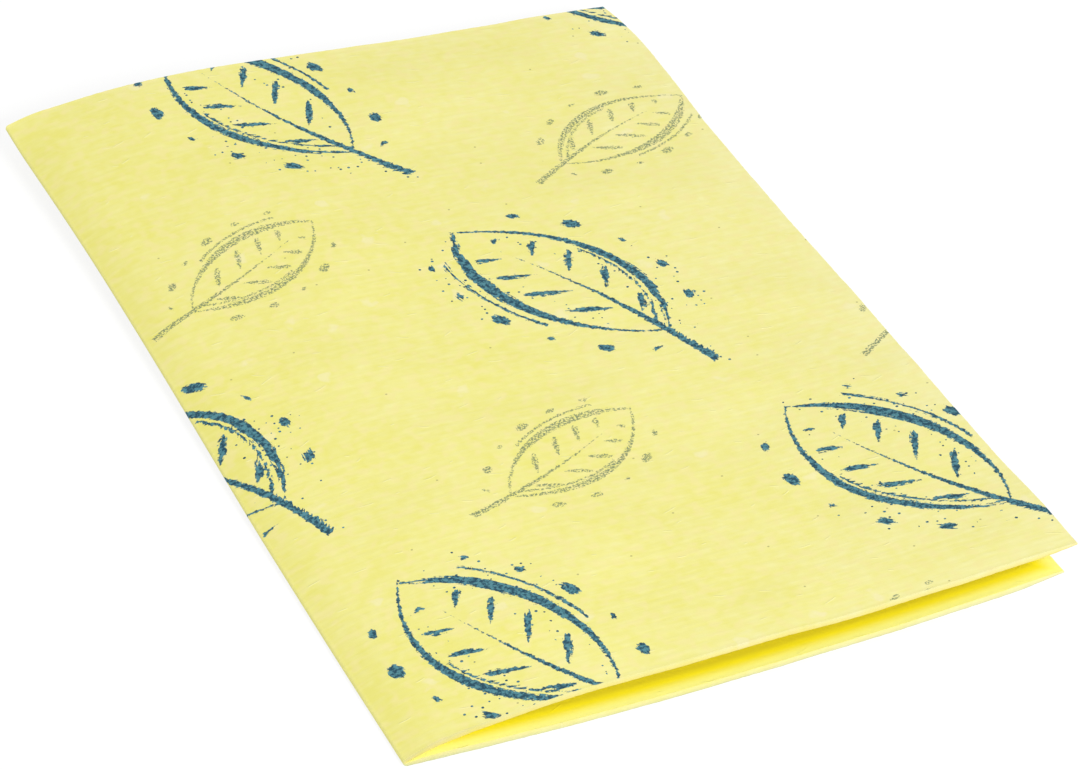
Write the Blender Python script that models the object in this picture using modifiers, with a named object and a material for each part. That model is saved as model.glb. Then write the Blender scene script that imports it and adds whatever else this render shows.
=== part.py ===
"""A dry sponge cloth: one sheet of cellulose sponge, folded once and lying on a table.

The fold runs along Y at the left. The two halves lie over each other with their free
edges at the right, and the front is towards -Y. The sheet is stiff when it is dry, so it
touches the table only along one diagonal. Its other two corners curl up, and the upper
half stands a few millimetres clear of the lower one.
"""

import math

import bmesh
import bpy
import numpy as np

# Sizes of the sheet before it is folded
FOLD_LENGTH = 0.258
UPPER_LENGTH = 0.1570
LOWER_LENGTH = 0.1540
SHEET_THICKNESS = 0.0014

# Clear heights between the two halves
FOLD_GAP = 0.0005
CROWN_GAP_FRONT = 0.0060
CROWN_GAP_BACK = 0.0069
CROWN_RUN = 0.050
FREE_EDGE_GAP_FRONT = 0.0040
FREE_EDGE_GAP_BACK = 0.0049
FREE_EDGE_BOW = 0.0004

# How the stiff sheet lies on the table
RESTING_STRIP_WIDTH = 0.031
FRONT_CORNER_LIFT = 0.0087
FRONT_CORNER_CURL = 2.0
BACK_CORNER_LIFT = 0.0061
BACK_CORNER_CURL = 1.5

# How finely the surface is divided
HALF_COLUMNS = 24
FOLD_COLUMNS = 8
ROWS = 28
PROFILE_STEPS = 400

# Colour of the undyed side of the cloth, a pale lemon yellow, in linear light
CLOTH_COLOUR = (0.905, 0.855, 0.330, 1.0)
CLOTH_ROUGHNESS = 0.92

# Sizes that follow from those above: the fold's radius is taken at the sheet's mid-plane
FOLD_RADIUS = (SHEET_THICKNESS + FOLD_GAP) / 2
QUARTER_TURN = FOLD_RADIUS * math.pi / 2
UPPER_RUN = UPPER_LENGTH - QUARTER_TURN
LOWER_RUN = LOWER_LENGTH - QUARTER_TURN
FOLD_X = (FOLD_RADIUS + SHEET_THICKNESS / 2 - UPPER_RUN) / 2
DIAGONAL = math.hypot(UPPER_RUN, FOLD_LENGTH)
CORNER_DISTANCE = UPPER_RUN * FOLD_LENGTH / DIAGONAL


def clear_scene():
    for old in list(bpy.data.objects):
        bpy.data.objects.remove(old, do_unlink=True)


def corner_lift(x, y):
    """Height of the lower half over the table: flat in a strip along the resting diagonal,
    and curling up towards the front free corner and the back end of the fold."""
    from_middle = x - FOLD_X - UPPER_RUN / 2
    distance = (from_middle * FOLD_LENGTH - y * UPPER_RUN) / DIAGONAL
    half_strip = RESTING_STRIP_WIDTH / 2
    beyond_strip = (np.abs(distance) - half_strip) / (CORNER_DISTANCE - half_strip)
    beyond_strip = np.maximum(beyond_strip, 0.0)
    front = FRONT_CORNER_LIFT * beyond_strip**FRONT_CORNER_CURL
    back = BACK_CORNER_LIFT * beyond_strip**BACK_CORNER_CURL
    return np.where(distance > 0, front, back)


def crown_gap(y):
    """Widest clear height between the halves in the row at y."""
    towards_back = y / FOLD_LENGTH + 0.5
    return CROWN_GAP_FRONT + (CROWN_GAP_BACK - CROWN_GAP_FRONT) * towards_back


def free_edge_gap(y):
    """Clear height at the free edges in the row at y."""
    towards_back = y / FOLD_LENGTH + 0.5
    straight = FREE_EDGE_GAP_FRONT + (FREE_EDGE_GAP_BACK - FREE_EDGE_GAP_FRONT) * towards_back
    return straight + FREE_EDGE_BOW * (1 - (2 * y / FOLD_LENGTH) ** 2)


def clear_height(run, y):
    """Space between the halves at this run from the fold: it opens to a crown and then
    narrows again towards the free edge."""
    rise = 1 - (1 - np.clip(run / CROWN_RUN, 0, 1)) ** 2
    fall = np.clip((run - CROWN_RUN) / (UPPER_RUN - CROWN_RUN), 0, 1) ** 2
    crown = crown_gap(y)
    return FOLD_GAP + (crown - FOLD_GAP) * rise - (crown - free_edge_gap(y)) * fall


def lower_height(x, y):
    """Height of the lower half's mid-plane."""
    return corner_lift(x, y) + SHEET_THICKNESS / 2


def upper_height(x, y):
    """Height of the upper half's mid-plane."""
    return lower_height(x, y) + SHEET_THICKNESS + clear_height(x - FOLD_X, y)


def half_section(lengths, y, height):
    """Points of one half at these lengths along the sheet, counted from the fold, so that
    the sheet is bent and not stretched."""
    x = FOLD_X + np.linspace(0, lengths[-1], PROFILE_STEPS)
    z = height(x, y)
    along = np.concatenate([[0], np.cumsum(np.hypot(np.diff(x), np.diff(z)))])
    x_there = np.interp(lengths, along, x)
    return x_there, height(x_there, y)


def fold_section(y):
    """Points round the fold, from its underside to where the upper half leaves it at the
    slope with which the halves open."""
    opening_angle = math.atan(2 * (crown_gap(y) - FOLD_GAP) / CROWN_RUN)
    angles = np.linspace(-math.pi / 2, math.pi / 2 - opening_angle, FOLD_COLUMNS + 1)[1:-1]
    x = FOLD_X - FOLD_RADIUS * np.cos(angles)
    z = lower_height(x, y) + FOLD_RADIUS * (1 + np.sin(angles))
    return x, z


def sheet_section(y):
    """The folded sheet's mid-line across one row, from the lower free edge round to the
    upper one."""
    lower_x, lower_z = half_section(np.linspace(0, LOWER_RUN, HALF_COLUMNS + 1), y, lower_height)
    upper_x, upper_z = half_section(np.linspace(0, UPPER_RUN, HALF_COLUMNS + 1), y, upper_height)
    fold_x, fold_z = fold_section(y)
    x = np.concatenate([lower_x[::-1], fold_x, upper_x])
    z = np.concatenate([lower_z[::-1], fold_z, upper_z])
    return x, z


def folded_sheet():
    """The sheet's mid-surface: a flat grid whose columns are bent round the section."""
    columns = 2 * HALF_COLUMNS + FOLD_COLUMNS
    sheet = bmesh.new()
    bmesh.ops.create_grid(sheet, x_segments=columns, y_segments=ROWS, size=0.5)
    row_places = np.linspace(-FOLD_LENGTH / 2, FOLD_LENGTH / 2, ROWS + 1)
    sections = [sheet_section(y) for y in row_places]
    for vert in sheet.verts:
        column = round((vert.co.x + 0.5) * columns)
        row = round((vert.co.y + 0.5) * ROWS)
        x, z = sections[row]
        vert.co = (x[column], row_places[row], z[column])
    return sheet


def cloth_material():
    material = bpy.data.materials.new("pale_yellow_cellulose")
    material.use_nodes = True
    shader = material.node_tree.nodes["Principled BSDF"]
    shader.inputs["Base Color"].default_value = CLOTH_COLOUR
    shader.inputs["Roughness"].default_value = CLOTH_ROUGHNESS
    shader.inputs["Metallic"].default_value = 0.0
    return material


def make_cloth(collection):
    sheet = folded_sheet()
    mesh = bpy.data.meshes.new("sponge_cloth")
    sheet.to_mesh(mesh)
    sheet.free()
    mesh.shade_smooth()
    mesh.materials.append(cloth_material())
    cloth = bpy.data.objects.new("sponge_cloth", mesh)
    collection.objects.link(cloth)
    thickness = cloth.modifiers.new("Sheet thickness", "SOLIDIFY")
    thickness.thickness = SHEET_THICKNESS
    thickness.offset = 0.0
    thickness.use_even_offset = True
    return cloth


clear_scene()
parts = bpy.data.collections.new("folded_sponge_cloth")
bpy.context.scene.collection.children.link(parts)
make_cloth(parts)
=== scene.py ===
import math

import bpy
from mathutils import Matrix, Vector


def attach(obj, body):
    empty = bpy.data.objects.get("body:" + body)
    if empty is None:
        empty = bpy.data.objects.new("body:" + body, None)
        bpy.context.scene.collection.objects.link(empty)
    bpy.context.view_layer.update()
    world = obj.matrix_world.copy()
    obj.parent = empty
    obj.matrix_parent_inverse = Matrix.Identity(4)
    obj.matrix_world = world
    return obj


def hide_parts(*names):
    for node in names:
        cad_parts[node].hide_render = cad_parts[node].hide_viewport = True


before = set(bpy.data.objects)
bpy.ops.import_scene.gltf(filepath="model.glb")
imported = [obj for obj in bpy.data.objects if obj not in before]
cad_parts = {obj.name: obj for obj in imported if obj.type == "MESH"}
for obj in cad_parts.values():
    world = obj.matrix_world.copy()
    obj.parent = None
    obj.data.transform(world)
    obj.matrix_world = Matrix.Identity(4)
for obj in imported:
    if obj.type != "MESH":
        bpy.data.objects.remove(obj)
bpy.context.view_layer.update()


# The camera: a long lens looks down at the cloth from the front, a little from its left.
# It was placed from the sheet's four corners and its edges, so it belongs to this cloth.
CAMERA_TURN = math.radians(-22.98)
CAMERA_HEIGHT = math.radians(34.46)
CAMERA_TILT = math.radians(0.62)
CAMERA_DISTANCE = 1.3454
CAMERA_AIM = Vector((0.0021, -0.0096, 0.0))
CAMERA_SENSOR = 36.0
CAMERA_LENS = 196.3
CAMERA_NEAREST = 0.05
CAMERA_FARTHEST = 50.0


def place_camera():
    towards = Vector(
        (
            math.sin(CAMERA_TURN) * math.cos(CAMERA_HEIGHT),
            -math.cos(CAMERA_TURN) * math.cos(CAMERA_HEIGHT),
            math.sin(CAMERA_HEIGHT),
        )
    )
    level = Vector((math.cos(CAMERA_TURN), math.sin(CAMERA_TURN), 0.0))
    upright = towards.cross(level)
    right = level * math.cos(CAMERA_TILT) + upright * math.sin(CAMERA_TILT)
    up = upright * math.cos(CAMERA_TILT) - level * math.sin(CAMERA_TILT)
    camera = bpy.data.cameras.new("photo_camera")
    camera.sensor_width = CAMERA_SENSOR
    camera.lens = CAMERA_LENS
    camera.clip_start = CAMERA_NEAREST
    camera.clip_end = CAMERA_FARTHEST
    holder = bpy.data.objects.new("photo_camera", camera)
    turn = Matrix((right, up, towards)).transposed().to_4x4()
    holder.matrix_world = Matrix.Translation(CAMERA_AIM + towards * CAMERA_DISTANCE) @ turn
    bpy.context.scene.collection.objects.link(holder)
    bpy.context.scene.camera = holder


place_camera()
bpy.context.scene.view_settings.view_transform = "Standard"


# The sheet: one piece of cellulose sponge, pressed with a fine waffle, cut square by a blade
# and folded once while damp. It dried stiff, so its corners curl up off the table and its
# upper half stands clear of the lower one.

# Lengths are in metres. A take-up is the share of a half's run that its bending takes up, and
# the lag is the share of the front corner's lift that the lower half lacks. Tightness is a
# share of the fold's radius, and pinch and thinning are shares of the thickness.
UPPER_LENGTH = 0.1570
LOWER_LENGTH = 0.1540
FOLD_LENGTH = 0.258
SHEET_THICKNESS = 0.0014
SHEET_SIZES = {
    "Upper Length": UPPER_LENGTH,
    "Lower Length": LOWER_LENGTH,
    "Fold Length": FOLD_LENGTH,
    "Thickness": SHEET_THICKNESS,
    "Fold Gap": 0.0005,
    "Crown Gap Front": 0.0060,
    "Crown Gap Back": 0.0069,
    "Crown Run": 0.050,
    "Free Edge Gap Front": 0.0040,
    "Free Edge Gap Back": 0.0049,
    "Free Edge Bow": 0.0004,
    "Resting Strip": 0.031,
    "Front Corner Lift": 0.0087,
    "Front Corner Curl": 2.0,
    "Back Corner Lift": 0.0061,
    "Back Corner Curl": 1.5,
    "Upper Take-up": 0.0035,
    "Lower Take-up": 0.0050,
    "Crease Width": 0.008,
    "Crease Tightness": 0.50,
    "Crease Pinch": 0.38,
    "Fold Sway": 0.0007,
    "Fold Flare": 0.0013,
    "Fold Flare Reach": 0.040,
    "Corner Curl": 0.0008,
    "Corner Thinning": 0.65,
    "Thinning Reach": 0.009,
    "Lower Slip": 0.0003,
    "Lower Lag": 0.06,
    "Waffle Depth": 0.00004,
    "Edge Wave": 0.0005,
    "Edge Wave Length": 0.035,
    "Edge Bulge": 0.0011,
    "Corner Wear": 0.0021,
    "Edge Drift": 0.0003,
    "Edge Drift Length": 0.030,
    "Edge Rounding": 0.00014,
    "Cut Roughness": 0.00007,
    "Seed": 4.0,
}
LOWER_COLUMNS = 118
FOLD_COLUMNS = 12
UPPER_COLUMNS = 120
ROWS = 192
LAYERS = 4
SHARP_EDGE = math.radians(45)

# Where the sheet's irregularities lie along the fold and how far they reach, both as shares
# of its length counted from its middle towards the back, or as runs from the fold
FOLD_SWAY_SPAN = (0.155, 0.35)
FOLD_FLARE_SPAN = (0.23, 0.27)
CORNER_CURL_SPAN = (0.44, 0.06)
CORNER_CURL_RUN = 0.012
BACK_BULGE_SPAN = (0.40, 0.13)
MIDDLE_BULGE_SPAN = (-0.06, 0.14)
CORNER_WEAR_SPAN = (0.40, 0.10)
LOWER_SLIP_RUN = 0.015
FREE_EDGE_EASE = 4
END_ROW = 0.499
CUT_ROUNDING_EASE = 3
CUT_GRAIN_SCALE = 900.0
CUT_GRAIN_LAYER = 1 / 300
CUT_GRAIN_SEED = 7
DRIFT_SEED = 13


class Wire:
    """A socket of a node tree. Arithmetic on it adds the Math nodes that work it out."""

    def __init__(self, tree, socket):
        self.tree = tree
        self.socket = socket

    def __add__(self, other):
        return self.tree.math("ADD", self, other)

    def __radd__(self, other):
        return self.tree.math("ADD", other, self)

    def __sub__(self, other):
        return self.tree.math("SUBTRACT", self, other)

    def __rsub__(self, other):
        return self.tree.math("SUBTRACT", other, self)

    def __mul__(self, other):
        return self.tree.math("MULTIPLY", self, other)

    def __rmul__(self, other):
        return self.tree.math("MULTIPLY", other, self)

    def __truediv__(self, other):
        return self.tree.math("DIVIDE", self, other)

    def __rtruediv__(self, other):
        return self.tree.math("DIVIDE", other, self)

    def __pow__(self, other):
        return self.tree.math("POWER", self, other)

    def __gt__(self, other):
        return self.tree.math("GREATER_THAN", self, other)

    def __lt__(self, other):
        return self.tree.math("LESS_THAN", self, other)

    def __abs__(self):
        return self.tree.math("ABSOLUTE", self)

    def at_least(self, other):
        return self.tree.math("MAXIMUM", self, other)

    def at_most(self, other):
        return self.tree.math("MINIMUM", self, other)

    def root(self):
        return self.tree.math("SQRT", self.at_least(0.0))

    def sine(self):
        return self.tree.math("SINE", self)

    def cosine(self):
        return self.tree.math("COSINE", self)

    def whole(self):
        return self.tree.math("FLOOR", self)

    def mapped(self, low, high, start=0.0, end=1.0, way="LINEAR"):
        """This value taken from low..high to start..end, and held at the ends."""
        settings = {"interpolation_type": way}
        sockets = {"Value": self, "From Min": low, "From Max": high, "To Min": start, "To Max": end}
        return self.tree.node("ShaderNodeMapRange", settings, sockets)["Result"]

    def eased(self, low, high):
        return self.mapped(low, high, way="SMOOTHSTEP")


class Tree:
    """A node tree that is written as expressions."""

    def __init__(self, tree):
        self.tree = tree
        tree.nodes.clear()

    def node(self, kind, settings=None, sockets=None):
        """A node of this kind: its settings are set first, then the values or wires of its
        sockets, by name or by place. Gives its outputs by name."""
        made = self.tree.nodes.new(kind)
        for name, value in (settings or {}).items():
            setattr(made, name, value)
        in_use = [socket for socket in made.inputs if socket.enabled]
        for key, value in (sockets or {}).items():
            place = in_use[key] if isinstance(key, int) else next(s for s in in_use if s.name == key)
            if isinstance(value, Wire):
                self.tree.links.new(value.socket, place)
            else:
                place.default_value = value
        return {socket.name: Wire(self, socket) for socket in made.outputs if socket.enabled}

    def math(self, operation, *values):
        return self.node("ShaderNodeMath", {"operation": operation}, dict(enumerate(values)))["Value"]

    def vector(self, x, y, z=0.0):
        return self.node("ShaderNodeCombineXYZ", sockets={"X": x, "Y": y, "Z": z})["Vector"]

    def parts(self, vector):
        """The three parts of a vector, by the names X, Y and Z."""
        return self.node("ShaderNodeSeparateXYZ", sockets={"Vector": vector})


def hump(along, span):
    """1 at the middle of the span, falling to 0 where it ends on either side."""
    middle, reach = span
    away = (along - middle) / reach
    return (1 - away * away).at_least(0)


def past(along, span):
    """0 before the start of the span, growing steadily to 1 at its end."""
    start, reach = span
    return ((along - start) / reach).at_least(0)


def unevenness(tree, place, seed, scale, detail=2.0):
    """Noise above and below 0, a different one for each seed."""
    return tree.node(
        "ShaderNodeTexNoise",
        {"noise_dimensions": "4D", "normalize": False},
        {"Vector": place, "W": seed, "Scale": scale, "Detail": detail},
    )["Fac"]


def noted(tree, sheet, name, kind, domain, value):
    """The sheet with this value noted on it by name, for the finish to read."""
    return tree.node(
        "GeometryNodeStoreNamedAttribute",
        {"data_type": kind, "domain": domain},
        {"Geometry": sheet, "Name": name, "Value": value},
    )["Geometry"]


def sheet_group():
    """The node group that bends a flat slab into the folded sheet, by its named sizes."""
    group = bpy.data.node_groups.new("folded_sheet", "GeometryNodeTree")
    for name in SHEET_SIZES:
        group.interface.new_socket(name, in_out="INPUT", socket_type="NodeSocketFloat")
    group.interface.new_socket("Finish", in_out="INPUT", socket_type="NodeSocketMaterial")
    group.interface.new_socket("Sheet", in_out="OUTPUT", socket_type="NodeSocketGeometry")
    tree = Tree(group)
    size = tree.node("NodeGroupInput")
    place = tree.parts(tree.node("GeometryNodeInputPosition")["Position"])

    # The flat slab: columns across the fold, rows along it, layers through the thickness
    columns = LOWER_COLUMNS + FOLD_COLUMNS + UPPER_COLUMNS
    counts = {"Vertices X": columns + 1, "Vertices Y": ROWS + 1, "Vertices Z": LAYERS + 1}
    slab = tree.node("GeometryNodeMeshCube", sockets={"Size": (1.0, 1.0, 1.0), **counts})["Mesh"]
    column = (place["X"] + 0.5) * columns
    row = (place["Y"] + 0.5) * ROWS
    through = place["Z"]
    along_fold = place["Y"] * size["Fold Length"]
    radius = (size["Thickness"] + size["Fold Gap"]) / 2
    quarter = radius * (math.pi / 2)
    fold_start = LOWER_COLUMNS
    fold_end = LOWER_COLUMNS + FOLD_COLUMNS
    from_fold = (
        column.mapped(0, fold_start, size["Lower Length"] * -1, quarter * -1)
        + column.mapped(fold_start, fold_end, 0, quarter * 2)
        + column.mapped(fold_end, columns, 0, size["Upper Length"] - quarter)
    )
    run = (abs(from_fold) - quarter).at_least(0)
    on_upper = column > fold_end - 0.5
    on_lower = column < fold_start + 0.5
    in_fold = 1 - on_upper - on_lower

    # The waffle presses the two faces together in step, one bump to every other column and row,
    # and the crease pinches the sheet thinner
    bumps = ((column * math.pi).cosine() + (row * math.pi).cosine()) / 2
    waffle = bumps * (1 - in_fold) * size["Waffle Depth"]
    near_crease = (1 - run / size["Crease Width"]).at_least(0)
    crease = near_crease * near_crease
    pinch = size["Crease Pinch"] * crease

    # The front free corners are pressed thinner, more from below than from above
    half_length = size["Upper Length"] * on_upper + size["Lower Length"] * on_lower
    from_corner = half_length - quarter - run + (place["Y"] + 0.5) * size["Fold Length"]
    near_corner = (1 - from_corner / size["Thinning Reach"]).at_least(0) * (1 - in_fold)
    thinning = size["Corner Thinning"] * near_corner
    height = through * (size["Thickness"] * (1 - pinch - thinning) + waffle * 2)
    tightening = radius * size["Crease Tightness"] * crease

    # The space between the halves: it opens to a crown and narrows towards the free edge
    towards_back = place["Y"] + 0.5
    upper_run = size["Upper Length"] - quarter
    front_crown = size["Crown Gap Front"]
    crown = front_crown + (size["Crown Gap Back"] - front_crown) * towards_back
    front_edge = size["Free Edge Gap Front"]
    edge_gap = front_edge + (size["Free Edge Gap Back"] - front_edge) * towards_back
    edge_gap = edge_gap + size["Free Edge Bow"] * (1 - place["Y"] * place["Y"] * 4)
    to_crown = run.mapped(0, size["Crown Run"], 1, 0)
    past_crown = run.mapped(size["Crown Run"], upper_run)
    rise = crown - size["Fold Gap"]
    fall = crown - edge_gap
    space = size["Fold Gap"] + rise * (1 - to_crown * to_crown) - fall * past_crown * past_crown
    opening_slope = rise * 2 / size["Crown Run"]
    falling_slope = fall * 2 * past_crown / (upper_run - size["Crown Run"])
    crease_slope = radius * size["Crease Tightness"] * 4 / size["Crease Width"]
    slope = (opening_slope * to_crown - falling_slope + crease_slope * near_crease) * on_upper
    steepness = (1 + slope * slope).root()

    # The two halves and the half-round fold that joins them
    fold_x = (radius + size["Thickness"] / 2 - upper_run) / 2
    outwards = on_upper - on_lower
    take_up = size["Upper Take-up"] * on_upper + size["Lower Take-up"] * on_lower
    half_x = fold_x + run * (1 - take_up)
    half_z = (size["Thickness"] + space - tightening * 2) * on_upper
    opening_angle = tree.math("ARCTANGENT", opening_slope + crease_slope)
    half_turn = math.pi / 2
    turn = from_fold.mapped(quarter * -1, quarter, -half_turn, half_turn - opening_angle)
    mid_radius = radius - tightening
    turned_radius = mid_radius + height
    fold_round_x = fold_x - turned_radius * turn.cosine()
    fold_round_z = mid_radius + turned_radius * turn.sine()
    flat_x = half_x - slope * height / steepness
    flat_z = half_z + outwards * height / steepness
    thinned = size["Thickness"] / 2 * pinch
    x = fold_round_x * in_fold + flat_x * (1 - in_fold) - tightening - thinned
    z = fold_round_z * in_fold + flat_z * (1 - in_fold) + size["Thickness"] / 2 - thinned
    z = z + size["Thickness"] / 4 * thinning

    # How the stiff sheet lies: flat along one diagonal, with two corners curled up
    diagonal = (upper_run * upper_run + size["Fold Length"] * size["Fold Length"]).root()
    corner_distance = upper_run * size["Fold Length"] / diagonal
    from_middle = half_x - fold_x - upper_run / 2
    distance = (from_middle * size["Fold Length"] - along_fold * upper_run) / diagonal
    half_strip = size["Resting Strip"] / 2
    beyond = ((abs(distance) - half_strip) / (corner_distance - half_strip)).at_least(0)
    front_lift = size["Front Corner Lift"] * beyond ** size["Front Corner Curl"]
    back_lift = size["Back Corner Lift"] * beyond ** size["Back Corner Curl"]
    at_front = distance > 0
    lift = front_lift * (1 - on_lower * size["Lower Lag"]) * at_front + back_lift * (1 - at_front)

    # Folded by hand: the fold sways in plan, and its back end stands out and curls up
    sway = hump(place["Y"], FOLD_SWAY_SPAN)
    flare = past(place["Y"], FOLD_FLARE_SPAN)
    near_fold = (1 - run / size["Fold Flare Reach"]).at_least(0)
    aside = size["Fold Sway"] * sway * sway - size["Fold Flare"] * flare * flare
    tip = past(place["Y"], CORNER_CURL_SPAN) * (1 - run / CORNER_CURL_RUN).at_least(0)
    x = x + aside * near_fold * near_fold
    z = z + size["Corner Curl"] * tip * tip

    # Dried unevenness: the upper half waves a little towards its edges
    flat_place = tree.vector(from_fold, along_fold)
    wave = unevenness(tree, flat_place, size["Seed"], 1 / size["Edge Wave Length"], detail=1.0)
    wave_height = wave * size["Edge Wave"] * on_upper * run.mapped(0, size["Crown Run"])

    # The upper free edge stands out in two places, and its back corner is worn round
    bulge = hump(place["Y"], BACK_BULGE_SPAN) + hump(place["Y"], MIDDLE_BULGE_SPAN) / 2
    worn = past(place["Y"], CORNER_WEAR_SPAN)
    edge_shift = size["Edge Bulge"] * bulge - size["Corner Wear"] * worn * worn
    near_free_edge = on_upper * (run / upper_run) ** FREE_EDGE_EASE
    x = x + edge_shift * near_free_edge
    worn_end = size["Corner Wear"] / 2 * worn * worn * near_free_edge * near_free_edge

    # The cut edges: rounded a little, grainy, and not quite straight
    in_slab = tree.vector(from_fold, along_fold, through * CUT_GRAIN_LAYER)
    grain = unevenness(tree, in_slab, size["Seed"] + CUT_GRAIN_SEED, CUT_GRAIN_SCALE)
    drift = unevenness(tree, flat_place, size["Seed"] + DRIFT_SEED, 1 / size["Edge Drift Length"])
    at_free_edge = (column < 0.5) + (column > columns - 0.5)
    at_end = (place["Y"] > END_ROW) - (place["Y"] < -END_ROW)
    rounding = size["Edge Rounding"] * abs(through * 2) ** CUT_ROUNDING_EASE
    outline = grain * size["Cut Roughness"] + drift * size["Edge Drift"] - rounding
    x = x + outline * at_free_edge
    slip = size["Lower Slip"] * on_lower * run.mapped(0, LOWER_SLIP_RUN)
    y = along_fold + outline * at_end - slip - worn_end

    # What the finish reads: the place on the flat sheet, the side and the depth
    facing = tree.parts(tree.node("GeometryNodeInputNormal")["Normal"])["Z"]
    sheet = noted(tree, slab, "flat_sheet", "FLOAT2", "CORNER", flat_place)
    sheet = noted(tree, sheet, "outer_side", "FLOAT", "FACE", facing)
    sheet = noted(tree, sheet, "through_sheet", "FLOAT", "POINT", through)
    bent = {"Geometry": sheet, "Position": tree.vector(x, y, z + lift + wave_height)}
    sheet = tree.node("GeometryNodeSetPosition", sockets=bent)["Geometry"]
    sheet = tree.node("GeometryNodeRealizeInstances", sockets={"Geometry": sheet})["Geometry"]
    finished = {"Geometry": sheet, "Material": size["Finish"]}
    sheet = tree.node("GeometryNodeSetMaterial", sockets=finished)["Geometry"]
    tree.node("NodeGroupOutput", sockets={"Sheet": sheet})
    return group


# The print: two inks, put on by rollers before the sheet is cut. Large leaves are a dense
# teal blue, and small ones a thin grey green that the sponge's pores break up.

# Places and lengths are in millimetres on the flat sheet: u runs across the fold and v along
# it. The large leaf is also the one that is drawn, and the small one is brought down from it.
LARGE_LEAF = 82.0
SMALL_LEAF = 56.0
LARGE_LEAF_PLACE = (100.0, 10.0)
SMALL_LEAF_PLACE = (68.0, -51.0)
PRINT_STEP = (104.0, 26.0)
PRINT_ROW_STEP = (-40.0, 96.0)
LARGE_LEAF_TURN = math.radians(118)
SMALL_LEAF_TURN = math.radians(28)
INK_EDGE = 0.12
THIN_INK_EDGE = 0.15
THIN_INK_RAGGED = 0.8
COARSE_RAGGED_SCALE = 0.9
COARSE_RAGGED = 1.1
FINE_RAGGED_SCALE = 2.4
FINE_RAGGED = 0.6
BRISTLE_SCALE = 1.6
BRISTLE_RUN = 0.25
BRISTLE_LEVEL = 0.42
DRY_BRUSH = 2.4
SPATTER_SCALE = 0.5
SPATTER_SIZE = (0.08, 0.10)
SPATTER_SHARE = 0.70
SPATTER_REACH = 2.6
SPATTER_DRYNESS = 0.55
PORE_SCALE = 1.9
PORE_LEVELS = (0.43, 0.50)
PORE_DRYNESS = 0.04
TEAL_DARK = (0.004, 0.058, 0.105, 1.0)
TEAL_LIGHT = (0.085, 0.265, 0.325, 1.0)
GREY_GREEN = (0.150, 0.215, 0.135, 1.0)


def print_cell(tree, u, v, origin):
    """Where a point lies in the print's repeat that is nearest to it: its two coordinates
    in millimetres from the middle of that repeat, and the numbers of the repeat."""
    from_u = u - origin[0]
    from_v = v - origin[1]
    area = PRINT_STEP[0] * PRINT_ROW_STEP[1] - PRINT_STEP[1] * PRINT_ROW_STEP[0]
    along = (from_u * PRINT_ROW_STEP[1] - from_v * PRINT_ROW_STEP[0]) / area
    across = (from_v * PRINT_STEP[0] - from_u * PRINT_STEP[1]) / area
    step = tree.math("ROUND", along)
    row = tree.math("ROUND", across)
    here_u = from_u - step * PRINT_STEP[0] - row * PRINT_ROW_STEP[0]
    here_v = from_v - step * PRINT_STEP[1] - row * PRINT_ROW_STEP[1]
    return here_u, here_v, step, row


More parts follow.
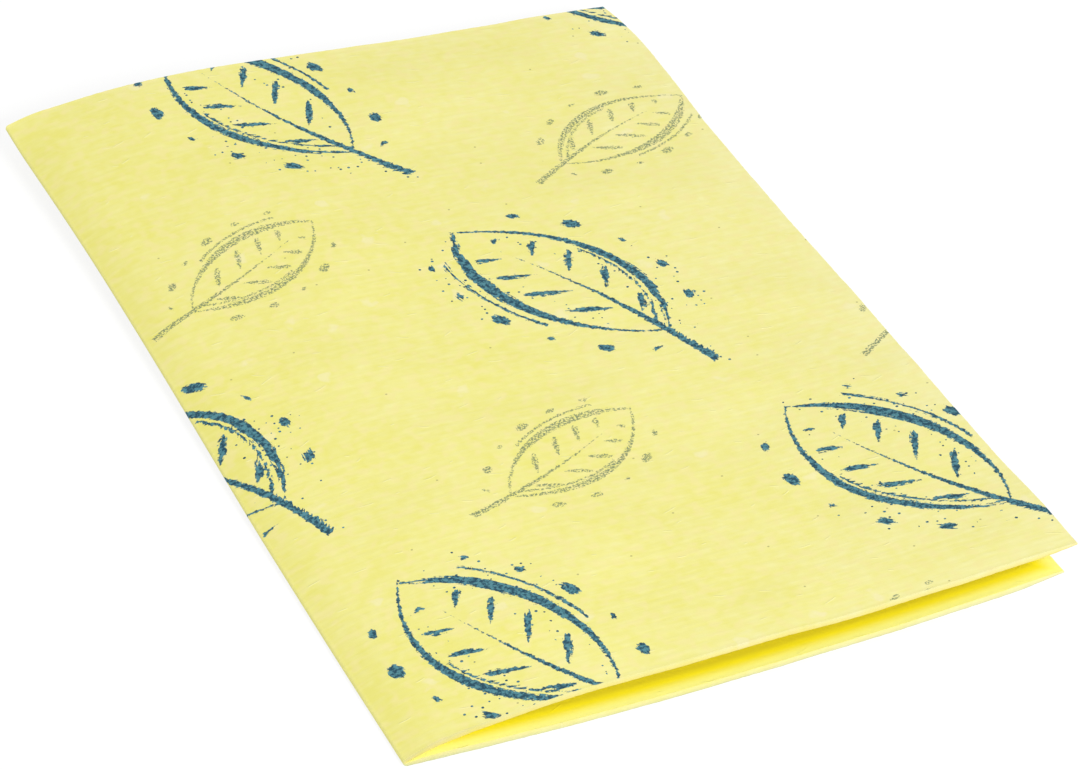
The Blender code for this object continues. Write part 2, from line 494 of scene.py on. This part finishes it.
def leaf(tree, u, v, length, turn, flip):
    """How far a point lies outside the brush strokes of a leaf, in millimetres, how dry the
    brush is there, and where the point lies across a stroke. u and v are counted from the
    leaf's middle. It is drawn as long as a large leaf, along p and with q across it, and
    then brought to its length."""
    rib_bend = 0.0022
    rib_height = 1.5
    blade_start = -25
    blade_length = 64
    stretch = LARGE_LEAF / length
    p = (u * math.cos(turn) + v * math.sin(turn)) * stretch
    q = (v * math.cos(turn) - u * math.sin(turn)) * flip * stretch
    q = q - rib_bend * p * p + rib_height
    above = q > 0
    below = 1 - above
    off_rib = abs(q)
    s = ((p - blade_start) / blade_length).mapped(0, 1)

    # The outline: two arcs from the stalk to the tip, each a stroke that swells and thins,
    # with a second, thinner pass of the brush beside it
    blade_middle = 7
    blade_half = 32.5
    beside_limit = 60
    lower_arc = 43.6
    upper_arc_less = 4.0
    blade_depth = 14.0
    upper_depth_more = 1.6
    arc_radius = lower_arc - upper_arc_less * above
    arc_centre = arc_radius - blade_depth - upper_depth_more * above
    beside = (p - blade_middle).at_least(-beside_limit).at_most(beside_limit)
    outside = (beside * beside + (off_rib + arc_centre) ** 2).root() - arc_radius
    swell = s * (1 - s) * 4
    thinnest = 0.25
    upper_swell = 2.5
    lower_swell = 1.35
    lower_lean = 1.25
    upper_stroke = above * swell * s * upper_swell
    lower_stroke = below * swell * (lower_lean - s) * lower_swell
    stroke = thinnest + upper_stroke + lower_stroke
    line = (abs(outside) - stroke).at_least(abs(p - blade_middle) - blade_half)
    second_half_width = 0.50
    second_middle = 0.62
    second_shift = 0.30
    second_half = 17
    within = 2.9
    within_less = 1.6
    beyond = 2.2
    beyond_more = 2.4
    moved_in = below * (within - within_less * s)
    moved_out = above * (beyond + beyond_more * s)
    second_place = outside + moved_in - moved_out
    from_second = abs(s - second_middle + second_shift * below) * blade_length - second_half
    second = (abs(second_place) - second_half_width).at_least(from_second)

    # The midrib with its stalk, which thins towards the tip
    rib_half_width = 1.35
    rib_taper = 0.023
    stalk_end = -41
    rib_middle = -8
    rib_half = 33
    rib = off_rib - rib_half_width + rib_taper * (p - stalk_end)
    rib = rib.at_least(abs(p - rib_middle) - rib_half)

    # The side veins, which stop short of the midrib and of the outline
    vein_step = 10.8
    lean = math.radians(46)
    vein_start = -20
    vein_stagger = 2.4
    first_vein = -21
    last_vein = 30
    vein_gap = 0.17
    vein_share = 0.60
    vein_bow = 1.6
    vein_offset = 0.5
    vein_width = 3.1
    vein_root_share = 0.55
    vein_tip_more = 0.65
    vein_trim = 0.5
    vein_clearance = 3.0
    never_zero = 0.01
    side = above * 2 - 1
    root = (p - vein_start - off_rib / math.tan(lean) - side * vein_stagger) / vein_step
    vein_number = root.whole()
    reach = off_rib / (off_rib - outside.at_most(0)).at_least(never_zero)
    drawn = (reach - vein_gap).mapped(0, vein_share)
    from_vein = (root - vein_number - 0.5) * (vein_step * math.sin(lean))
    aside = from_vein + reach * reach * vein_bow - vein_offset
    vein_belly = (drawn * (1 - drawn)).root() * (vein_root_share + vein_tip_more * drawn)
    half_width = vein_width * vein_belly
    vein = (abs(aside) - half_width + vein_trim).at_least(outside + vein_clearance)
    vein = vein.at_least(first_vein - p).at_least(p - last_vein)

    # A row of dabs outside the outline, each of its own size
    ring = 7.5
    dab_step = 13.5
    dab_mean = 1.15
    dab_change = 0.50
    dab_squash = 0.4
    dab_variety = 2.3
    side_variety = 1.1
    dabs_middle = 3
    dabs_half = 31
    turned = tree.math("ARCTAN2", beside, off_rib + arc_centre)
    around = turned * (arc_radius + ring) / dab_step
    dab_number = tree.math("ROUND", around)
    dab_along = (around - dab_number) * dab_step
    dab_place = dab_number * dab_variety + side * side_variety
    dab_size = dab_mean + dab_change * dab_place.sine()
    dab_out = outside - ring
    dab = (dab_along * dab_along * dab_squash + dab_out * dab_out).root() - dab_size
    dab = dab.at_least(abs(p - dabs_middle) - dabs_half)

    # All strokes together, with the outline told apart from the veins
    leaf_reach = 46
    outline_depth = 2.0
    far_off = (p * p + q * q).root() - leaf_reach
    shape = line.at_most(second).at_most(rib).at_most(vein).at_most(dab).at_least(far_off)
    on_outline = outside > -outline_depth
    dryness = on_outline * (s * above + (1 - s) * below) + (1 - on_outline) * drawn
    across = on_outline * outside + (1 - on_outline) * aside
    return shape / stretch, dryness, across / stretch


NOISE_SHIFT = (317.0, 173.0)


def noise(tree, u, v, scale, detail=2.0, seed=0, roughness=0.5):
    """Soft noise from 0 to 1 over the flat sheet, a different one for each seed."""
    return tree.node(
        "ShaderNodeTexNoise",
        {"noise_dimensions": "2D"},
        {
            "Vector": tree.vector(u + seed * NOISE_SHIFT[0], v - seed * NOISE_SHIFT[1]),
            "Scale": scale,
            "Detail": detail,
            "Roughness": roughness,
        },
    )["Fac"]


def scattered(tree, place, scale):
    """Spots strewn over the flat sheet: how far off the nearest is and where, and three
    random shares of its own, named X, Y and Z."""
    spots = tree.node(
        "ShaderNodeTexVoronoi",
        {"feature": "F1", "voronoi_dimensions": "2D"},
        {"Vector": place, "Scale": scale},
    )
    return spots["Distance"], spots["Position"], tree.parts(spots["Color"])


def blended(tree, factor, first, second):
    """The first colour where factor is 0 and the second where it is 1."""
    return tree.node(
        "ShaderNodeMix",
        {"data_type": "RGBA"},
        {"Factor": factor, "A": first, "B": second},
    )["Result"]


def ink_masks(tree, u, v):
    """Where the teal ink and the grey green ink lie, from 0 to 1."""
    coarse_edge = (noise(tree, u, v, COARSE_RAGGED_SCALE, seed=1) - 0.5) * COARSE_RAGGED
    fine_edge = (noise(tree, u, v, FINE_RAGGED_SCALE, seed=2) - 0.5) * FINE_RAGGED
    ragged = coarse_edge + fine_edge

    # Teal leaves: a dry brush towards the end of each stroke, with spatter beside it
    cell_u, cell_v, _, row = print_cell(tree, u, v, LARGE_LEAF_PLACE)
    flip = 1 - 2 * abs(tree.math("MODULO", row, 2.0))
    outside, dryness, across = leaf(tree, cell_u, cell_v, LARGE_LEAF, LARGE_LEAF_TURN, flip)
    bristle_run = u * BRISTLE_RUN + v * BRISTLE_RUN
    bristles = noise(tree, across * BRISTLE_SCALE, bristle_run, 1.0, seed=3)
    dry_brush = (bristles - BRISTLE_LEVEL) * dryness * DRY_BRUSH
    distance, _, chance = scattered(tree, tree.vector(u, v), SPATTER_SCALE)
    drop = distance < SPATTER_SIZE[0] + chance["Y"] * SPATTER_SIZE[1]
    spatter = drop * (chance["X"] > SPATTER_SHARE)
    near = (outside < SPATTER_REACH) * (dryness > SPATTER_DRYNESS)
    teal = (outside + ragged + dry_brush).eased(INK_EDGE, -INK_EDGE).at_least(spatter * near)

    # Grey green leaves: a thin ink with the pores showing through
    cell_u, cell_v, step, _ = print_cell(tree, u, v, SMALL_LEAF_PLACE)
    flip = 1 - 2 * abs(tree.math("MODULO", step, 2.0))
    outside, dryness, _ = leaf(tree, cell_u, cell_v, SMALL_LEAF, SMALL_LEAF_TURN, flip)
    pores = noise(tree, u, v, PORE_SCALE, detail=3.0, seed=5, roughness=0.7)
    green = (outside + ragged * THIN_INK_RAGGED).eased(THIN_INK_EDGE, -THIN_INK_EDGE)
    return teal, green * (pores - dryness * PORE_DRYNESS).eased(*PORE_LEVELS)


# The finish: undyed cellulose takes a pale lemon yellow. Its surface is dry and matt, with
# # fine pores, short creases with a painted pale highlight, a few pale flecks and the odd dark
# # speck in the pulp. Some of its colour is painted light and shade: lighter towards the free
# # edges, darker at the fold, and on the fold's crest, the cut faces and between the halves.

# Widths, runs and reaches are in millimetres on the flat sheet. A pair gives the two values
# between which something fades in.
CLOTH_YELLOW = (0.905, 0.855, 0.310, 1.0)
CLOTH_DEEPER = (0.870, 0.820, 0.215, 1.0)
CLOTH_PALER = (0.945, 0.900, 0.450, 1.0)
CLOTH_WARM = (0.935, 0.835, 0.360, 1.0)
FLECK_PALE = (0.960, 0.890, 0.560, 1.0)
PULP_SPECK = (0.330, 0.300, 0.120, 1.0)
# Partly or wholly painted light and shade: the fold's crest, the cut faces and the inner face between
# the halves
STRETCHED_CREST_AND_HIGHLIGHT = (0.980, 0.930, 0.320, 1.0)
CUT_SHADE = (0.010, 0.000, 0.085, 1.0)
LOWER_CUT_SHADE = (0.000, 0.110, 0.270, 1.0)
CUT_PAINTED_GLOW = (0.860, 0.690, 0.110, 1.0)
INNER_PAINTED_LIGHT = (1.000, 0.985, 0.330, 1.0)
INNER_PAINTED_GLOW = (1.000, 0.885, 0.016, 1.0)
INNER_PAINTED_SHADE = (0.820, 0.715, 0.022, 1.0)
MILLIMETRES = 1000
WAFFLE_ACROSS = 2.592
WAFFLE_ALONG = FOLD_LENGTH * 2 * MILLIMETRES / ROWS
WAFFLE_RELIEF = 0.03
WAFFLE_LEVEL = 0.2
BROAD_SCALE = 0.035
BROAD_TONE = 0.75
FINE_SCALE = 0.30
FINE_TONE = 0.85
FIBRE_SCALE = 1.0
FIBRE_STRETCH = 0.16
FIBRE_TONE = 0.5
EDGE_PALING = 0.22
EDGE_PALING_WIDTH = 9
# Painted light, lighter towards the free edges, and painted shade, darker at the fold
FREE_EDGE_PAINTED_LIGHT = 0.46
FREE_EDGE_RUN = 150
TONE_DROP = 0.24
FOLD_PAINTED_SHADE = 0.22
FOLD_PAINTED_SHADE_WIDTH = 12
DEEPER_TONES = (-0.6, 0.0)
PALER_TONES = (0.0, 0.7)
PALER_SHARE = 0.9
WARM_SCALE = 0.28
WARM_LEVELS = (0.46, 0.74)
WARM_SHARE = 0.6
CREASE_SCALE = 0.11
CREASE_TURN = 1.1
CREASE_BOW = 0.16
CREASE_LENGTH = (0.5, 1.7)
CREASE_EDGE = (0.24, 0.06)
CREASE_END = (1.0, 0.55)
CREASE_CHANCE = 0.35
# The creases' pale colour is a painted highlight
CREASE_PAINTED_HIGHLIGHT = 0.55
FLECK_SCALE = 0.05
FLECK_RAGGED = 0.30
FLECK_EDGE = (0.10, 0.01)
FLECK_CHANCE = 0.5
FLECK_SHARE = 0.5
SPECK_SCALE = 0.07
SPECK_EDGE = (0.024, 0.012)
SPECK_CHANCE = 0.78
SPECK_SHARE = 0.6
STRETCHED_CREST_AND_HIGHLIGHT_EDGE = (1.8, 0.6)
CUT_SHADE_RUN = 40
CUT_SHADE_SHARES = (0.40, 0.29)
CUT_GLOW_REACH = (-0.5, 0.4)
CUT_GLOW_SHARE = 0.5
LOWER_GLOW_SHARE = 0.6
PAINTED_GLOW_REACH = (0.8, 4.5)
PAINTED_SHADE_REACH = (4.0, 6.4)
MOTTLE_SCALE = 0.9
MOTTLE_LEVELS = (0.41, 0.60)
GREEN_OPACITY = 0.85
TEAL_OPACITY = 0.985
SURFACE_PORE_SCALE = 2.6
PORE_RELIEF = 0.025
FIBRE_RELIEF = 0.05
CREASE_RELIEF = 0.08
BUMP_STRENGTH = 0.55
BUMP_DISTANCE = 0.001
CLOTH_ROUGHNESS = 0.93
INK_SMOOTHING = 0.10
CREASE_SMOOTHING = 0.04
CLOTH_SHINE = 0.25


def creases(tree, place):
    """Where short creases lie, more or less across the fold, from 0 to 1. They are painted pale, a
    painted highlight.
    """
    _, middle, chance = scattered(tree, place, CREASE_SCALE)
    offset = tree.node(
        "ShaderNodeVectorMath",
        {"operation": "SUBTRACT"},
        {0: place, 1: middle},
    )["Vector"]
    turned = tree.node(
        "ShaderNodeVectorRotate",
        {"rotation_type": "Z_AXIS"},
        {"Vector": offset, "Angle": (chance["X"] - 0.5) * CREASE_TURN},
    )["Vector"]
    own = tree.parts(turned)
    bow = own["X"] * own["X"] * (chance["Y"] - 0.5) * CREASE_BOW
    half_length = CREASE_LENGTH[0] + chance["Z"] * CREASE_LENGTH[1]
    inside = (abs(own["X"]) / half_length).eased(*CREASE_END)
    return (abs(own["Y"] - bow)).eased(*CREASE_EDGE) * inside * (chance["Y"] > CREASE_CHANCE)


def cloth_finish():
    material = bpy.data.materials.new("printed_sponge")
    material.use_nodes = True
    tree = Tree(material.node_tree)
    flat = tree.node("ShaderNodeAttribute", {"attribute_name": "flat_sheet"})["Vector"]
    side = tree.node("ShaderNodeAttribute", {"attribute_name": "outer_side"})["Fac"]
    through = tree.node("ShaderNodeAttribute", {"attribute_name": "through_sheet"})["Fac"]
    flat = tree.parts(flat)
    u = flat["X"] * MILLIMETRES
    v = flat["Y"] * MILLIMETRES
    place = tree.vector(u, v)
    outer = side > 0.5
    inner = side < -0.5
    on_cut = abs(side) < 0.5

    # Colour of the bare sponge: tone that differs at random and paler along the cut edges, with
    # # painted light, lighter towards the free edges, and painted shade, darker at the fold
    from_ends = FOLD_LENGTH / 2 * MILLIMETRES - abs(v)
    upper_longer = (UPPER_LENGTH - LOWER_LENGTH) * MILLIMETRES
    free_edge = LOWER_LENGTH * MILLIMETRES + (u > 0) * upper_longer
    inwards = from_ends.at_most(free_edge - abs(u))
    broad = noise(tree, u, v, BROAD_SCALE, detail=3.0, seed=11)
    fine = noise(tree, u, v, FINE_SCALE, detail=1.0, seed=12)
    warm = noise(tree, u, v, WARM_SCALE, detail=1.5, seed=14)
    fibres = noise(tree, u * FIBRE_STRETCH, v, FIBRE_SCALE, detail=1.0, seed=13)
    tone = (broad - 0.5) * BROAD_TONE + (fine - 0.5) * FINE_TONE + (fibres - 0.5) * FIBRE_TONE
    out = abs(u) / FREE_EDGE_RUN
    tone = tone + inwards.mapped(0, EDGE_PALING_WIDTH, EDGE_PALING, 0)
    # Painted light: lighter towards the free edges
    tone = tone + out * out * FREE_EDGE_PAINTED_LIGHT - TONE_DROP
    # Painted shade: darker next to the fold
    tone = tone - abs(u).mapped(0, FOLD_PAINTED_SHADE_WIDTH, FOLD_PAINTED_SHADE, 0)
    colour = blended(tree, tone.mapped(*DEEPER_TONES, 1, 0), CLOTH_YELLOW, CLOTH_DEEPER)
    colour = blended(tree, tone.mapped(*PALER_TONES, 0, PALER_SHARE), colour, CLOTH_PALER)
    colour = blended(tree, warm.eased(*WARM_LEVELS) * WARM_SHARE, colour, CLOTH_WARM)

    # Creases with a painted pale highlight, pale flecks and dark specks
    marks = creases(tree, place)
    colour = blended(tree, marks * CREASE_PAINTED_HIGHLIGHT, colour, CLOTH_PALER)
    distance, _, chance = scattered(tree, place, FLECK_SCALE)
    fleck_edge = distance + (fine - 0.5) * FLECK_RAGGED
    flecks = fleck_edge.eased(*FLECK_EDGE) * (chance["X"] > FLECK_CHANCE)
    colour = blended(tree, flecks * FLECK_SHARE, colour, FLECK_PALE)
    distance, _, chance = scattered(tree, place, SPECK_SCALE)
    specks = distance.eased(*SPECK_EDGE) * (chance["X"] > SPECK_CHANCE)
    colour = blended(tree, specks * SPECK_SHARE, colour, PULP_SPECK)

    # The crest of the fold is painted paler, partly its stretched pores and partly a painted
    # # highlight. The cut faces are painted darker, partly their open pores and partly painted
    # # shade, and a painted glow of light that has gone through the sponge rises on them towards
    # # the inner side
    colour = blended(tree, abs(u).eased(*STRETCHED_CREST_AND_HIGHLIGHT_EDGE), colour, STRETCHED_CREST_AND_HIGHLIGHT)
    # Painted shade on the cut faces, partly their open pores, deeper near the fold
    cut_shade = blended(tree, u < 0, CUT_SHADE, LOWER_CUT_SHADE)
    shaded = abs(u).mapped(0, CUT_SHADE_RUN, *CUT_SHADE_SHARES)
    colour = blended(tree, on_cut * shaded, colour, cut_shade)
    # Painted glow: gold light rising on the cut faces towards the inner side
    glow_share = LOWER_GLOW_SHARE + (u > 0) * (1 - LOWER_GLOW_SHARE)
    glow = through.mapped(*CUT_GLOW_REACH, CUT_GLOW_SHARE, 0) * glow_share
    colour = blended(tree, on_cut * glow, colour, CUT_PAINTED_GLOW)

    # Painted light and shade between the halves, where only light that has gone through the
    # # sponge is left: the inner face is painted bright, a deep gold further in, and deeper still
    colour = blended(tree, inner, colour, INNER_PAINTED_LIGHT)
    colour = blended(tree, inwards.eased(*PAINTED_GLOW_REACH) * inner, colour, INNER_PAINTED_GLOW)
    colour = blended(tree, inwards.eased(*PAINTED_SHADE_REACH) * inner, colour, INNER_PAINTED_SHADE)

    # Ink on the outer face
    teal, green = ink_masks(tree, u, v)
    mottle = noise(tree, u, v, MOTTLE_SCALE, detail=3.0, seed=21, roughness=0.75)
    teal_ink = blended(tree, mottle.eased(*MOTTLE_LEVELS), TEAL_DARK, TEAL_LIGHT)
    colour = blended(tree, green * outer * GREEN_OPACITY, colour, GREY_GREEN)
    colour = blended(tree, teal * outer * TEAL_OPACITY, colour, teal_ink)

    # Relief too fine for the mesh
    pores = noise(tree, u, v, SURFACE_PORE_SCALE, detail=3.0, seed=31, roughness=0.6)
    across = (u * (2 * math.pi / WAFFLE_ACROSS)).cosine()
    along = (v * (2 * math.pi / WAFFLE_ALONG)).cosine()
    waffle = (across + along) * (fine - WAFFLE_LEVEL) * WAFFLE_RELIEF
    relief = waffle + pores * PORE_RELIEF + fibres * FIBRE_RELIEF + marks * CREASE_RELIEF
    bump = tree.node(
        "ShaderNodeBump",
        sockets={"Strength": BUMP_STRENGTH, "Distance": BUMP_DISTANCE, "Height": relief},
    )["Normal"]
    smoothing = teal * outer * INK_SMOOTHING
    roughness = (CLOTH_ROUGHNESS - smoothing - marks * CREASE_SMOOTHING).at_most(1.0)
    shader = tree.node(
        "ShaderNodeBsdfPrincipled",
        sockets={
            "Base Color": colour,
            "Roughness": roughness,
            "Normal": bump,
            "Specular IOR Level": CLOTH_SHINE,
        },
    )["BSDF"]
    tree.node("ShaderNodeOutputMaterial", sockets={"Surface": shader})
    return material


def make_cloth():
    group = sheet_group()
    stock = bpy.data.objects.new("sheet_stock", bpy.data.meshes.new("sheet_stock"))
    bpy.context.scene.collection.objects.link(stock)
    bending = stock.modifiers.new("Folded sheet", "NODES")
    bending.node_group = group
    identifiers = {socket.name: socket.identifier for socket in group.interface.items_tree}
    for name, value in SHEET_SIZES.items():
        bending[identifiers[name]] = value
    bending[identifiers["Finish"]] = cloth_finish()
    made = stock.evaluated_get(bpy.context.evaluated_depsgraph_get())
    mesh = bpy.data.meshes.new_from_object(made)
    mesh.name = "folded_cloth"
    bpy.data.objects.remove(stock)
    mesh.shade_smooth()
    mesh.set_sharp_from_angle(angle=SHARP_EDGE)
    cloth = bpy.data.objects.new("folded_cloth", mesh)
    bpy.context.scene.collection.objects.link(cloth)
    return cloth


cloth = make_cloth()
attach(cloth, "root")
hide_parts("sponge_cloth")


# The table and the light: a white table top in an even white room, with one soft lamp low in
# front, which shines in between the halves. The table shows white to the camera and still
# takes the cloth's soft shadow.
TABLE_SIZE = 12.0
TABLE_COLOUR = (0.80, 0.80, 0.80, 1.0)
TABLE_GLOW = 1.08
TABLE_GLOW_SHARE = 0.80
TABLE_DROP = 0.0002
TABLE_ROUGHNESS = 0.5
WHITE = (1.0, 1.0, 1.0, 1.0)
ROOM_LIGHT = 0.62
LAMP_PLACE = Vector((0.20, -2.26, 1.20))
LAMP_SIZE = 0.65
LAMP_POWER = 53.0


def seen_directly(tree):
    """1 for a ray from the camera, off a mirror or through glass, and 0 for any other."""
    path = tree.node("ShaderNodeLightPath")
    seen = path["Is Camera Ray"].at_least(path["Is Glossy Ray"])
    return seen.at_least(path["Is Transmission Ray"])


def table_finish():
    material = bpy.data.materials.new("white_table")
    material.use_nodes = True
    tree = Tree(material.node_tree)
    plain = tree.node(
        "ShaderNodeBsdfDiffuse",
        sockets={"Color": TABLE_COLOUR, "Roughness": TABLE_ROUGHNESS},
    )["BSDF"]
    glow = tree.node("ShaderNodeEmission", sockets={"Color": WHITE, "Strength": TABLE_GLOW})
    shown = tree.node(
        "ShaderNodeMixShader",
        sockets={0: seen_directly(tree) * TABLE_GLOW_SHARE, 1: plain, 2: glow["Emission"]},
    )["Shader"]
    tree.node("ShaderNodeOutputMaterial", sockets={"Surface": shown})
    return material


def make_room():
    bpy.ops.mesh.primitive_plane_add(size=TABLE_SIZE, location=(0.0, 0.0, -TABLE_DROP))
    table = bpy.context.active_object
    table.name = "floor"
    table.data.materials.append(table_finish())
    world = bpy.data.worlds.new("white_room")
    bpy.context.scene.world = world
    world.use_nodes = True
    tree = Tree(world.node_tree)
    strength = ROOM_LIGHT + seen_directly(tree) * (1.0 - ROOM_LIGHT)
    light = tree.node("ShaderNodeBackground", sockets={"Color": WHITE, "Strength": strength})
    tree.node("ShaderNodeOutputWorld", sockets={"Surface": light["Background"]})


def make_lamp():
    lamp = bpy.data.lights.new("soft_lamp", "AREA")
    lamp.shape = "SQUARE"
    lamp.size = LAMP_SIZE
    lamp.energy = LAMP_POWER
    holder = bpy.data.objects.new("soft_lamp", lamp)
    holder.location = LAMP_PLACE
    holder.rotation_euler = LAMP_PLACE.to_track_quat("Z", "Y").to_euler()
    bpy.context.scene.collection.objects.link(holder)


make_room()
make_lamp()
